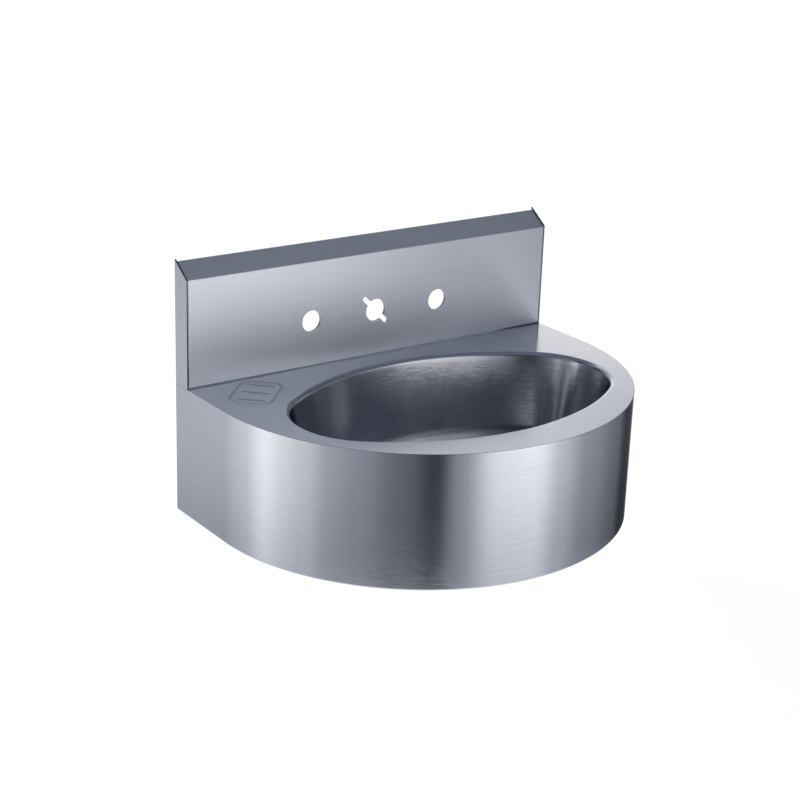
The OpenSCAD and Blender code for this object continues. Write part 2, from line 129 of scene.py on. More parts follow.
def set_shading(obj):
    obj.data.shade_smooth()
    obj.data.set_sharp_from_angle(angle=SHARP)
    weigh = obj.modifiers.new("Even normals", "WEIGHTED_NORMAL")
    weigh.mode = "FACE_AREA_WITH_ANGLE"
    weigh.keep_sharp = True
    apply_modifiers(obj)


def report(obj):
    size = [round(d / MM, 1) for d in obj.dimensions]
    print(obj.name, "size in mm", size, "faces", len(obj.data.polygons))


# %% [markdown]
# Arcs are drawn as short steps, two to four degrees each on the large curves. That is fine
# enough, because smooth shading hides what the outline doesn't show.

# %% Arcs and rings
def arc(cx, cy, r, start, end, steps):
    return [(cx + r * math.cos(math.radians(start + (end - start) * i / steps)),
             cy + r * math.sin(math.radians(start + (end - start) * i / steps)))
            for i in range(steps + 1)]


def bridge(rows, close_rows=False):
    """Faces between closed rows of the same number of points, stored one after another"""
    count = len(rows[0])
    faces = []
    last = len(rows) if close_rows else len(rows) - 1
    for r in range(last):
        a, b = r * count, ((r + 1) % len(rows)) * count
        for i in range(count):
            j = (i + 1) % count
            faces.append((a + i, a + j, b + j, b + i))
    return faces


# %% [markdown]
# ## The oval of the bowl
# A draughtsman draws this oval with a compass and four centres: a small arc at each end and
# a large arc on each long side, tangent where they meet. Because every point knows its own
# centre, the oval can be moved in or out evenly, which is what a press tool does.

# %% Oval stations
JOIN = math.degrees(math.atan2(SIDE_C, END_C))
END_STEPS = 44
SIDE_STEPS = 64


def oval_stations():
    stations = []
    for turn in (1, -1):
        stations += [((turn * END_C, 0.0), END_R, a + (0 if turn > 0 else 180))
                     for a in [-JOIN + 2 * JOIN * i / END_STEPS for i in range(END_STEPS)]]
        stations += [((0.0, -turn * SIDE_C), SIDE_R, a + (0 if turn > 0 else 180))
                     for a in [JOIN + (180 - 2 * JOIN) * i / SIDE_STEPS
                               for i in range(SIDE_STEPS)]]
    return stations


OVAL = oval_stations()


def oval_ring(out, z):
    """The oval moved out from the bowl's inner wall, at the height z"""
    ring = []
    for (cx, cy), r, a in OVAL:
        s, c = math.sin(math.radians(a)), math.cos(math.radians(a))
        ring.append((cx + (r + out) * c, BOWL_Y + cy + (r + out) * s, z))
    return ring


def round_ring(r, z):
    """A circle with one point for each point of the oval, in the same directions"""
    ring = []
    for x, y, _ in oval_ring(-END_R / 2, 0):
        a = math.atan2(y - BOWL_Y, x)
        ring.append((r * math.cos(a), BOWL_Y + r * math.sin(a), z))
    return ring


def mix_ring(a, b, t, z):
    return [(p[0] + (q[0] - p[0]) * t, p[1] + (q[1] - p[1]) * t, z) for p, q in zip(a, b)]


print("oval:", len(OVAL), "points, tangent at", round(JOIN, 2), "degrees")

# %% [markdown]
# ## The bowl
# The real bowl is drawn from one sheet in a press. It could be sculpted or lofted, but its
# shape follows a rule: a wall with twelve degrees of draft, a large round, and a floor that
# falls to the waste. So it is built as rings, each one the oval at another offset and height.
# The same rings, moved out by the sheet, make its underside, and the two are closed at the
# rim and round the waste hole.

# %% Bowl
FILLET_Z = FLOOR_R - BOWL_DEPTH
FILLET_X = -(BOWL_TOP - FILLET_Z) * math.tan(DRAFT) - FLOOR_R / math.cos(DRAFT)
FLOOR_X = FILLET_X + FLOOR_R * math.sin(FALL)
FLOOR_EDGE_Z = FILLET_Z - FLOOR_R * math.cos(FALL)
FLOOR_LOW = FLOOR_EDGE_Z - (FLOOR_X + SIDE_R - SIDE_C) * math.tan(FALL)
RECESS_R = 33.0
RECESS_EDGE_R = 1.2
RECESS_RISE = 0.25
SEAT_Z = FLOOR_LOW - 5.0
SEAT_CORNER_R = 0.8
WASTE_HOLE_R = 21.95
WALL_STEPS = 6
ROUND_STEPS = 22
FLOOR_STEPS = 14


def bowl_side(grow):
    """Rings of one side of the sheet, from the rim down to the waste recess"""
    rings = []
    top = grow / math.cos(DRAFT)
    first = arc(FILLET_X, FILLET_Z, FLOOR_R + grow,
                -math.degrees(DRAFT), math.degrees(FALL) - 90, ROUND_STEPS)
    wall_x, wall_z = first[0]
    for i in range(WALL_STEPS):
        t = i / WALL_STEPS
        rings.append(oval_ring(top + (wall_x - top) * t, BOWL_TOP + (wall_z - BOWL_TOP) * t))
    rings += [oval_ring(x, z) for x, z in first]
    edge = oval_ring(*first[-1])
    low = FLOOR_LOW + RECESS_RISE - grow
    target = round_ring(RECESS_R + grow + RECESS_EDGE_R, low)
    for i in range(1, FLOOR_STEPS):
        t = i / FLOOR_STEPS
        rings.append(mix_ring(edge, target, t, first[-1][1] + (low - first[-1][1]) * t))
    return rings, low


def bowl_recess(grow, low):
    side, seat = RECESS_R + grow, SEAT_Z - grow
    r, corner = RECESS_EDGE_R, SEAT_CORNER_R
    section = [(side + r - r * math.sin(math.radians(a)), low - r + r * math.cos(math.radians(a)))
               for a in (0, 18, 36, 54, 72, 90)]
    section += [(side - corner + corner * math.cos(math.radians(a)),
                 seat + corner - corner * math.sin(math.radians(a)))
                for a in (0, 22.5, 45, 67.5, 90)]
    return [round_ring(x, z) for x, z in section + [(WASTE_HOLE_R, seat)]]


inner, inner_low = bowl_side(0.0)
outer, outer_low = bowl_side(SHEET)
inner += bowl_recess(0.0, inner_low)
outer += bowl_recess(SHEET, outer_low)
bowl_rows = inner + outer[::-1]
bowl = make_object("bowl_sheet", [p for row in bowl_rows for p in row],
                   bridge(bowl_rows, close_rows=True))
tidy_mesh(bowl)
set_shading(bowl)
report(bowl)

# %% [markdown]
# ## The deck
# The deck is one plate. Its hole is rolled down into a short lip, which leans like the bowl's
# wall and which the bowl is welded to. Its outer edge is welded to the apron and ground round,
# and a soap recess is pressed into the left back corner. The flat part is only filled between
# closed loops, so all the points go where the shape turns: the rim, the edge and the recess.

# %% Deck loops
D_STEPS = 90
SIDE_STOP_Y = -70.0
CORNER_STEP = 0.01
SQUARE_R = 0.02


def d_loop(inset):
    """Outline of the deck from the wall at the left, round the front, to the wall"""
    r = HALF_W - inset
    left = [(-r, 0.0), (-r, -UPSTAND_D + CORNER_STEP), (-r, -UPSTAND_D), (-r, SIDE_STOP_Y)]
    front = arc(0, -SIDE_L, r, 180, 360, D_STEPS)
    return left + front + [(-x, y) for x, y in left[::-1]]


def edge_section(y):
    """Ground edge in front, a square corner below the end caps. x is the inset"""
    r = SQUARE_R if y > -UPSTAND_D + CORNER_STEP / 2 else EDGE_R
    corner = [(r - r * math.sin(math.radians(a)), -r + r * math.cos(math.radians(a)))
              for a in (0, 15, 30, 45, 60, 75, 90)]
    return [(EDGE_R, 0.0)] + corner + [(0.0, -SHEET), (EDGE_R, -SHEET)]


# %% [markdown]
# The soap recess is shallow, and its sides are soft where the press tool let the sheet flow.
# It is a height over a grid of points, worked out from the distance to its outline and to
# its three ribs. A second value at each point says how much of a thin darker line, along the
# outline and the ribs, lies there. The deck's material reads it later.

# %% Soap recess
SOAP_AT = (-189.0, -71.0)
SOAP_TURN = math.radians(45)
SOAP_L, SOAP_W, SOAP_R = 72.0, 50.0, 14.0
SOAP_DEPTH, SOAP_SOFT = 0.6, 9.0
SOAP_RIBS = 3
RIB_L, RIB_W, RIB_SOFT = 30.0, 4.4, 2.4
RIB_RISE = 0.6
LINE_W, LINE_INSET, RIB_LINE_HALF = 1.5, 1.2, 0.4
PATCH_L, PATCH_W, PATCH_STEP = 74.0, 52.0, 0.65
RIB_PLACES = [(i - (SOAP_RIBS - 1) / 2) * SOAP_L / SOAP_RIBS for i in range(SOAP_RIBS)]


def rounded_box(u, v, half_l, half_w, r):
    """Distance from the outline of a rounded rectangle, negative inside"""
    qx, qy = abs(u) - half_l + r, abs(v) - half_w + r
    return math.hypot(max(qx, 0), max(qy, 0)) + min(max(qx, qy), 0) - r


def soft(t):
    t = min(max(t, 0.0), 1.0)
    return t * t * (3 - 2 * t)


def soap_z(u, v):
    inside = soft(-rounded_box(u, v, SOAP_L / 2, SOAP_W / 2, SOAP_R) / SOAP_SOFT)
    rib = 0.0
    for at in RIB_PLACES:
        d = rounded_box(u - at, v, RIB_W / 2, RIB_L / 2, RIB_W / 2)
        rib = max(rib, soft(0.5 - d / RIB_SOFT))
    return -SOAP_DEPTH * inside * (1 - RIB_RISE * rib)


def soap_line(x, y):
    """How much of the dark line along the press tool's edges lies at a point of the deck"""
    c, s = math.cos(SOAP_TURN), math.sin(SOAP_TURN)
    x, y = x - SOAP_AT[0], y - SOAP_AT[1]
    u, v = x * c + y * s, y * c - x * s
    edge = abs(rounded_box(u, v, SOAP_L / 2, SOAP_W / 2, SOAP_R) + LINE_INSET)
    for at in RIB_PLACES:
        rib = rounded_box(u - at, v, RIB_LINE_HALF, RIB_L / 2, RIB_LINE_HALF)
        edge = min(edge, abs(rib))
    return math.exp(-(edge / LINE_W) ** 2)


def soap_patch(drop):
    """Grid of points over the recess, and the loop of indices round its edge"""
    nu = int(PATCH_L / PATCH_STEP) + 1
    nv = int(PATCH_W / PATCH_STEP) + 1
    c, s = math.cos(SOAP_TURN), math.sin(SOAP_TURN)
    points = []
    for j in range(nv):
        for i in range(nu):
            u = -PATCH_L / 2 + PATCH_L * i / (nu - 1)
            v = -PATCH_W / 2 + PATCH_W * j / (nv - 1)
            points.append((SOAP_AT[0] + u * c - v * s, SOAP_AT[1] + u * s + v * c,
                           soap_z(u, v) - drop))
    faces = [(j * nu + i, j * nu + i + 1, (j + 1) * nu + i + 1, (j + 1) * nu + i)
             for j in range(nv - 1) for i in range(nu - 1)]
    loop = (list(range(nu)) + [j * nu + nu - 1 for j in range(1, nv)]
            + [(nv - 1) * nu + i for i in range(nu - 2, -1, -1)]
            + [j * nu for j in range(nv - 2, 0, -1)])
    return points, faces, loop


# %% [markdown]
# The plate itself is made with bmesh, because rings of points are easy to join there. One set
# of rings follows the section of the rim, from the flat sheet over the round and down the
# lip, and back up on the underside. A second set follows the ground edge along the D.

# %% Rim and edge of the deck
RIM_STEPS = 14
EDGE_POINTS = len(edge_section(-DEPTH))
bm = bmesh.new()


def add_ring(points):
    return [bm.verts.new([c * MM for c in p]) for p in points]


def join_rings(a, b, closed=True):
    for i in range(len(a) if closed else len(a) - 1):
        j = (i + 1) % len(a)
        bm.faces.new((a[i], a[j], b[j], b[i]))


# Rolled rim, lip and its underside, as rings round the oval
lean = math.degrees(DRAFT)
turn_low = RIM_R * (1 - math.sin(DRAFT))
rim_x = RIM_R * math.cos(DRAFT) - (BOWL_TOP + turn_low) * math.tan(DRAFT)
rim_line = (arc(rim_x, -RIM_R, RIM_R, 90, 180 - lean, RIM_STEPS)
            + [(0.0, BOWL_TOP), (SHEET / math.cos(DRAFT), BOWL_TOP)]
            + arc(rim_x, -RIM_R, RIM_R - SHEET, 180 - lean, 90, RIM_STEPS))
rim_rings = [add_ring(oval_ring(x, z)) for x, z in rim_line]
for a, b in zip(rim_rings, rim_rings[1:]):
    join_rings(a, b)

# Ground edge, as rings along the D
outline = d_loop(0.0)
inward = d_loop(1.0)
edge_rings = []
for k in range(EDGE_POINTS):
    ring = []
    for (x, y), (xi, yi) in zip(outline, inward):
        inset, z = edge_section(y)[k]
        ring.append((x + (xi - x) * inset, y + (yi - y) * inset, z))
    edge_rings.append(add_ring(ring))
for a, b in zip(edge_rings, edge_rings[1:]):
    join_rings(a, b, closed=False)
# The section's open ends, on the wall plane
for end in (0, -1):
    bm.faces.new([ring[end] for ring in edge_rings])
print("rings:", len(rim_rings), "round the oval,", len(edge_rings), "along the D")

# %% [markdown]
# A fill then closes the flat sheet, above and below, between the edge, the rim, the soap
# recess and the slot that lets the supply pipes down. It needs closed loops of edges and
# makes few, large triangles, which a flat face may have.

# %% Flat sheet of the deck
SLOT_L, SLOT_FRONT, SLOT_BACK, SLOT_R = 230.0, -21.5, -4.5, 4.0


def slot_loop(z):
    cy = (SLOT_FRONT + SLOT_BACK) / 2
    hx, hy = SLOT_L / 2 - SLOT_R, (SLOT_BACK - SLOT_FRONT) / 2 - SLOT_R
    ring = []
    for sx, sy, a in ((1, 1, 0), (-1, 1, 90), (-1, -1, 180), (1, -1, 270)):
        ring += [(x, y, z) for x, y in arc(sx * hx, cy + sy * hy, SLOT_R, a, a + 90, 6)]
    return ring


def loop_edges(ring):
    pairs = zip(ring, ring[1:] + ring[:1])
    return [bm.edges.get(pair) or bm.edges.new(pair) for pair in pairs]


slot_top, slot_under = add_ring(slot_loop(0.0)), add_ring(slot_loop(-SHEET))
join_rings(slot_top, slot_under)
for drop, edge, rim, slot in ((0.0, edge_rings[0], rim_rings[0], slot_top),
                              (SHEET, edge_rings[-1], rim_rings[-1], slot_under)):
    points, faces, loop = soap_patch(drop)
    patch = add_ring(points)
    for face in faces:
        bm.faces.new([patch[i] for i in face])
    border = loop_edges(edge) + loop_edges(rim) + loop_edges(slot)
    border += loop_edges([patch[i] for i in loop])
    bmesh.ops.triangle_fill(bm, use_beauty=True, edges=border)
# The plate's back edge, on the wall plane
bm.faces.new((edge_rings[0][0], edge_rings[0][-1], edge_rings[-1][-1], edge_rings[-1][0]))
bmesh.ops.recalc_face_normals(bm, faces=bm.faces)
deck = make_object("deck_plate", [])
bm.to_mesh(deck.data)
bm.free()
line = deck.data.attributes.new("line", "FLOAT", "POINT")
line.data.foreach_set("value", [soap_line(v.co.x / MM, v.co.y / MM)
                                for v in deck.data.vertices])
set_shading(deck)
report(deck)

# %% [markdown]
# The plate's upturn against the wall and the folded upstand are bent from flat sheet. A bend
# is drawn as a path on the outside of the sheet. A helper gives the sheet its thickness and
# puts a round on the outside of each fold, which catches a thin line of light.

# %% Folded sheet
BEND_STEPS = 8


def fold_section(path, t=SHEET, r=BEND_R):
    """Closed outline of a folded sheet. The path is its outer face, the sheet lies inside"""
    def unit(a, b):
        d = math.hypot(b[0] - a[0], b[1] - a[1])
        return (b[0] - a[0]) / d, (b[1] - a[1]) / d

    outer, inner = [path[0]], []
    u = unit(path[0], path[1])
    inner.append((path[0][0] - u[1] * t, path[0][1] + u[0] * t))
    for i in range(1, len(path) - 1):
        u, v = unit(path[i - 1], path[i]), unit(path[i], path[i + 1])
        half = math.acos(-(u[0] * v[0] + u[1] * v[1])) / 2
        n = (v[0] - u[0], v[1] - u[1])
        size = math.hypot(*n)
        n = (n[0] / size, n[1] / size)
        cx, cy = path[i][0] + n[0] * r / math.sin(half), path[i][1] + n[1] * r / math.sin(half)
        a0 = math.degrees(math.atan2(path[i][1] - u[1] * r / math.tan(half) - cy,
                                     path[i][0] - u[0] * r / math.tan(half) - cx))
        cross = u[0] * v[1] - u[1] * v[0]
        turn = (180 - 2 * math.degrees(half)) * (1 if cross > 0 else -1)
        outer += arc(cx, cy, r, a0, a0 + turn, BEND_STEPS)
        inner += arc(cx, cy, r - t, a0, a0 + turn, BEND_STEPS)
    u = unit(path[-2], path[-1])
    outer.append(path[-1])
    inner.append((path[-1][0] - u[1] * t, path[-1][1] + u[0] * t))
    return outer + inner[::-1]


def prism(name, points):
    """A closed piece between two outlines of as many points, stored one after the other"""
    count = len(points) // 2
    faces = [(i, (i + 1) % count, (i + 1) % count + count, i + count) for i in range(count)]
    faces += [tuple(range(count)), tuple(range(2 * count - 1, count - 1, -1))]
    obj = make_object(name, points, faces)
    tidy_mesh(obj)
    return obj


def along_x(name, section, x0, x1):
    return prism(name, [(x, y, z) for x in (x0, x1) for y, z in section])


def bevel(obj, width, segments=2, angle=40):
    mod = obj.modifiers.new("Soft edges", "BEVEL")
    mod.width = width * MM
    mod.segments = segments
    mod.limit_method = "ANGLE"
    mod.angle_limit = math.radians(angle)
    mod.harden_normals = False
    apply_modifiers(obj)


inner_half = HALF_W - CAP_T
upturn = along_x("deck_upturn", [(-SHEET, -SHEET), (0.0, -SHEET), (0.0, UPTURN_H),
                                 (-SHEET, UPTURN_H)], -inner_half, inner_half)
set_shading(upturn)
report(upturn)

# %% [markdown]
# ## The upstand
# The front panel, the sloping top and the rear return are one folded sheet. The holes are
# punched through it and through the plate behind. A Boolean cut does what the punch does,
# and the same three punches serve both pieces, so the holes always line up. The panel stops
# just short of the deck and the end caps, so that its seams stay dark.

# %% Upstand panel and the plate behind its holes
FOOT_GAP, CAP_GAP = 1.5, 0.5
HOLE_Z = 54.0
TAP_X, TAP_R, TAP_STEPS = 88.5, 12.7, 96
SPOUT_R, SPOUT_STEPS = 13.6, 44
NOTCH_W, NOTCH_REACH, NOTCH_STEPS = 6.3, 24.5, 12
BACKING_T, BACKING_HALF_H, BACKING_HALF_L = 2.5, 29.0, 128.0
PUNCH_FROM, PUNCH_TO = -40.0, -10.0
panel_path = [(-UPSTAND_D, FOOT_GAP), (-UPSTAND_D, UPSTAND_H), (0.0, TOP_Z), (0.0, RETURN_Z)]
panel_end = inner_half - CAP_GAP
panel = along_x("upstand_sheet", fold_section(panel_path[::-1]), -panel_end, panel_end)
backing_y = SHEET - UPSTAND_D
backing_corners = ((0.0, -1), (BACKING_T, -1), (BACKING_T, 1), (0.0, 1))
backing = along_x("backing_sheet",
                  [(backing_y + y, HOLE_Z + side * BACKING_HALF_H) for y, side in backing_corners],
                  -BACKING_HALF_L, BACKING_HALF_L)


def keyed_outline():
    """The spout hole: a circle with a notch to the upper left and one to the lower right"""
    half = NOTCH_W / 2
    lead = math.degrees(math.asin(half / SPOUT_R))
    tip = NOTCH_REACH - half
    points = []
    for a in (135.0, -45.0):
        c, s = math.cos(math.radians(a)), math.sin(math.radians(a))
        points += arc(0, 0, SPOUT_R, a - 180 + lead, a - lead, SPOUT_STEPS)
        points += arc(tip * c, tip * s, half, a - 90, a + 90, NOTCH_STEPS)
    return points


def punch(name, outline_points, x):
    return prism(name, [(x + u, y, HOLE_Z + v) for y in (PUNCH_FROM, PUNCH_TO)
                        for u, v in outline_points])


tap_outline = arc(0, 0, TAP_R, 0, 360, TAP_STEPS)[:-1]
punches = [punch("punch_left", tap_outline, -TAP_X), punch("punch_right", tap_outline, TAP_X),
           punch("punch_spout", keyed_outline(), 0.0)]
for target in (panel, backing):
    for tool in punches:
        cut = target.modifiers.new("Hole", "BOOLEAN")
        cut.operation = "DIFFERENCE"
        cut.solver = "EXACT"
        cut.object = tool
    apply_modifiers(target)
for tool in punches:
    bpy.data.objects.remove(tool)
for sheet in (panel, backing):
    set_shading(sheet)
    report(sheet)

# %% [markdown]
# ## End caps
# Each end of the upstand is closed by a small plate, welded on with its edge left standing a
# little proud, more at the right than at the left. It could be a cube with a slanted top, but
# its outline run from one side of the plate to the other takes the panel's own sizes. A Bevel
# modifier softens its edges, which draws the thin lines that the eye reads as a joint.

# %% End caps
CAP_PROUD = {-1: 0.4, 1: 1.2}
CAP_SOFT = 0.35
caps = []
for side, name in ((-1, "cap_plate_left"), (1, "cap_plate_right")):
    x0, x1 = sorted((side * (HALF_W - CAP_T), side * HALF_W))
    proud = CAP_PROUD[side]
    cap = along_x(name, [(0.0, 0.0), (-UPSTAND_D, 0.0), (-UPSTAND_D, UPSTAND_H + proud),
                         (0.0, TOP_Z + proud)], x0, x1)
    bevel(cap, CAP_SOFT, 3)
    set_shading(cap)
    report(cap)
    caps.append(cap)

# %% [markdown]
# ## Node helpers
# A node tree is long to write when each node and each link takes a line. The first helper
# gives a tree its sockets, the second feeds a node's inputs, and the third makes a node and
# feeds it. The steps of a tree can then be read one after the other. Geometry and shaders
# use the same helpers.

# %% Node helpers
def add_sockets(tree, side, sockets):
    for name, kind in sockets.items():
        tree.interface.new_socket(name, in_out=side, socket_type="NodeSocket" + kind)


def feed(tree, node, values):
    """Give a node's inputs their values: a socket is linked, anything else is set"""
    for key, value in values.items():
        if isinstance(value, bpy.types.NodeSocket):
            tree.links.new(value, node.inputs[key])
        else:
            node.inputs[key].default_value = value


def add(tree, kind, *given, operation=None, **named):
    """A new node, fed by place and by name. Gives its first output"""
    node = tree.nodes.new(kind)
    if operation:
        node.operation = operation
    feed(tree, node, {**dict(enumerate(given)), **named})
    return node.outputs[0]


# %% [markdown]
# ## The apron
# The apron is a long strip, folded along its foot and rolled round the D. Its section is the
# same everywhere, so this is work for Geometry Nodes: a small tree runs any section along
# any path. The tree's inputs are the section, whether its ends are closed, and the material.

# %% A tree that runs a section along a path
def finish_tree(tree, mesh, finish):
    """Realize the mesh, give it its material and lead it to the output"""
    real = add(tree, "GeometryNodeRealizeInstances", mesh)
    done = add(tree, "GeometryNodeSetMaterial", real, Material=finish)
    feed(tree, tree.nodes.new("NodeGroupOutput"), {"Mesh": done})


def path_tree():
    tree = bpy.data.node_groups.new("Section along a path", "GeometryNodeTree")
    add_sockets(tree, "INPUT", {"Path": "Geometry", "Section": "Object",
                                "Close the ends": "Bool", "Finish": "Material"})
    add_sockets(tree, "OUTPUT", {"Mesh": "Geometry"})
    given = tree.nodes.new("NodeGroupInput").outputs
    level = tree.nodes.new("GeometryNodeSetCurveNormal")
    level.mode = "Z_UP"
    feed(tree, level, {"Curve": add(tree, "GeometryNodeMeshToCurve", given["Path"])})
    info = tree.nodes.new("GeometryNodeObjectInfo")
    feed(tree, info, {"Object": given["Section"]})
    profile = add(tree, "GeometryNodeMeshToCurve", info.outputs["Geometry"])
    sweep = add(tree, "GeometryNodeCurveToMesh", level.outputs["Curve"],
                **{"Profile Curve": profile, "Fill Caps": given["Close the ends"]})
    finish_tree(tree, sweep, given["Finish"])
    return tree


def set_inputs(modifier, values):
    for item in modifier.node_group.interface.items_tree:
        if item.item_type == "SOCKET" and item.in_out == "INPUT" and item.name in values:
            modifier[item.identifier] = values[item.name]


def line_object(name, points, closed):
    edges = [(i, i + 1) for i in range(len(points) - 1)]
    if closed:
        edges.append((len(points) - 1, 0))
    return make_object(name, points, edges=edges)


steel_stock = bpy.data.materials.new("Steel, not yet finished")
PATH_TREE = path_tree()


def run_section(name, path, section):
    obj = line_object(name, path, False)
    profile = line_object(name + "_section", section, True)
    mod = obj.modifiers.new("Section along a path", "NODES")
    mod.node_group = PATH_TREE
    set_inputs(mod, {"Section": profile, "Close the ends": True, "Finish": steel_stock})
    apply_modifiers(obj)
    bpy.data.objects.remove(profile)
    tidy_mesh(obj)
    return obj


# %% [markdown]
# The apron's path is the D, from the wall round the front and back to the wall. Its section
# is a wall of 153 mm with a hem turned inwards at the foot. The mesh has to fill the same
# box as its node, so its box is printed.

# %% Apron
APRON_STEPS = 180
SIDE_MIDDLE_Y = -53.0
apron_path = [(-HALF_W, 0.0, 0.0), (-HALF_W, SIDE_MIDDLE_Y, 0.0)]
apron_path += [(x, y, 0.0) for x, y in arc(0, -SIDE_L, HALF_W, 180, 360, APRON_STEPS)]
apron_path += [(HALF_W, SIDE_MIDDLE_Y, 0.0), (HALF_W, 0.0, 0.0)]
apron_line = fold_section([(-HEM_W, -APRON_H), (0.0, -APRON_H), (0.0, -SHEET)])
apron = run_section("apron_sheet", apron_path, [(x, -z, 0.0) for x, z in apron_line])
set_shading(apron)
report(apron)
found = [Vector(c) for c in apron.bound_box]
print("apron mesh", [round(min(c[i] for c in found) / MM, 2) for i in range(3)],
      [round(max(c[i] for c in found) / MM, 2) for i in range(3)])

# %% [markdown]
# ## The waste grid
# A flat disc with two rings of holes round its screw keeps hair out of the drain. Eighteen
# Booleans could cut the holes, but holes that repeat are work for Geometry Nodes: each ring
# is a circle of points, each point gets a small circle, and one fill leaves the holes open.
# The disc is then given its thickness.

# %% Perforated grid
GRID_R, GRID_T, GRID_HOLE_R, GRID_BORE_R = 22.0, 1.8, 2.5, 4.3
GRID_RINGS = {"Inner": (6, 0.39), "Outer": (12, 0.66)}
RING_STEPS, HOLE_STEPS = 96, 32
GRID_SOFT = 0.25


def grid_tree():
    tree = bpy.data.node_groups.new("Perforated disc", "GeometryNodeTree")
    add_sockets(tree, "INPUT", {"Radius": "Float", "Thickness": "Float", "Hole radius": "Float",
                                "Bore radius": "Float", "Inner holes": "Int",
                                "Outer holes": "Int", "Inner ring": "Float",
                                "Outer ring": "Float", "Finish": "Material"})
    add_sockets(tree, "OUTPUT", {"Mesh": "Geometry"})
    given = tree.nodes.new("NodeGroupInput").outputs
    circles = tree.nodes.new("GeometryNodeJoinGeometry")

    def circle(radius, resolution):
        return add(tree, "GeometryNodeCurvePrimitiveCircle", Resolution=resolution,
                   Radius=given[radius])

    for radius in ("Radius", "Bore radius"):
        feed(tree, circles, {0: circle(radius, RING_STEPS)})
    for ring in GRID_RINGS:
        spots = add(tree, "GeometryNodeResampleCurve", circle(ring + " ring", RING_STEPS),
                    Count=given[ring + " holes"])
        place = add(tree, "GeometryNodeInstanceOnPoints", spots,
                    Instance=circle("Hole radius", HOLE_STEPS))
        feed(tree, circles, {0: add(tree, "GeometryNodeRealizeInstances", place)})
    fill = add(tree, "GeometryNodeFillCurve", circles.outputs[0])
    grow = add(tree, "GeometryNodeExtrudeMesh", fill, Individual=False,
               **{"Offset Scale": given["Thickness"]})
    whole = tree.nodes.new("GeometryNodeJoinGeometry")
    feed(tree, whole, {0: grow})
    feed(tree, whole, {0: add(tree, "GeometryNodeFlipFaces", fill)})
    weld = add(tree, "GeometryNodeMergeByDistance", whole.outputs[0], Distance=WELD_M)
    finish_tree(tree, weld, given["Finish"])
    return tree


grid = make_object("grid_disc", [(0, 0, 0)])
mod = grid.modifiers.new("Perforated disc", "NODES")
mod.node_group = grid_tree()
set_inputs(mod, {"Radius": GRID_R * MM, "Thickness": GRID_T * MM,
                 "Hole radius": GRID_HOLE_R * MM, "Bore radius": GRID_BORE_R * MM,
                 "Finish": steel_stock})
for ring, (count, share) in GRID_RINGS.items():
    set_inputs(mod, {ring + " holes": count, ring + " ring": GRID_R * share * MM})
apply_modifiers(grid)
grid.data.transform(Matrix.Translation((0, BOWL_Y * MM, (FLOOR_LOW - GRID_T) * MM)))
tidy_mesh(grid)
bevel(grid, GRID_SOFT)
set_shading(grid)
report(grid)

# %% [markdown]
# ## Everything behind and below
# Brackets, angles, the hanger, the waste and the earth point could be built anew as the
# sheets were, but their CAD shapes are exact and are seen from afar. So a copy of each node
# is merged into one skin, its sharp edges are softened by a fraction of a millimetre, and
# its round faces are shaded smooth.

# %% Dressed copies of the smaller nodes
SOFT_EDGE = {"hanging_rail": 0.3, "wall_hanger": 0.3, "fixing_bracket_left": 0.4,
             "fixing_bracket_right": 0.4, "side_angle_left": 0.25, "side_angle_right": 0.25,
             "front_bar": 0.4, "sound_pad_left": 0.5, "sound_pad_right": 0.5,
             "earth_tag": 0.25, "earth_bolt": 0.3, "earth_washers": 0.2, "earth_nut": 0.3,
             "waste_body": 0.25, "waste_grid_screw": 0.12, "waste_top_seal": 0.4,
             "waste_bottom_seal": 0.5, "waste_slip_washer": 0.25, "waste_backnut": 0.7}
NODE_WELD_M = 2e-6
FLAT = math.radians(0.5)
SOFT_FROM_DEG = 35
dressed = {}
for node, width in SOFT_EDGE.items():
    mesh = nodes[node].data.copy()
    copy = link_object(node + "_dressed", mesh)
    bm = bmesh.new()
    bm.from_mesh(mesh)
    bmesh.ops.remove_doubles(bm, verts=bm.verts, dist=NODE_WELD_M)
    bmesh.ops.dissolve_limit(bm, angle_limit=FLAT, verts=bm.verts, edges=bm.edges)
    bm.to_mesh(mesh)
    bm.free()
    bevel(copy, width, angle=SOFT_FROM_DEG)
    set_shading(copy)
    dressed[node] = copy
print("dressed", len(dressed), "nodes")

# %% [markdown]
# ## Materials
# Two small helpers start every material: one mixes two colours, one makes the material.

# %% Material helpers
def colour_mix(tree, share, a, b):
    node = tree.nodes.new("ShaderNodeMix")
    node.data_type = "RGBA"
    feed(tree, node, {"Factor": share, "A": a, "B": b})
    return node.outputs["Result"]


def new_material(name):
    mat = bpy.data.materials.new(name)
    mat.use_nodes = True
    return mat, mat.node_tree, mat.node_tree.nodes["Principled BSDF"]


# %% [markdown]
# ## Brushed steel
# Brushing leaves fine scratches in one direction. They are far too small to model, so they
# come from a noise that is stretched along the stroke: it moves the roughness and the
# normal a little. A second, broad noise stands for the handling and wiping that makes real
# steel slightly uneven. A still finer noise tilts the normal across the scratches, which
# spreads a reflection up and down where they lie level. All sit in one node group, which
# every steel shares.

# %% Shared grain group
FINE = {"Scale": 1.0, "Detail": 3.0, "Roughness": 0.6}
BROAD = {"Scale": 9.0, "Detail": 2.0, "Roughness": 0.5}
SCRATCH = {"Scale": 1.0, "Detail": 1.0, "Roughness": 0.5}
SCRATCH_FINER = 7.0
NOISE_LOW, NOISE_HIGH = 0.3, 0.7
GRAIN_HEIGHT_M = 0.0001


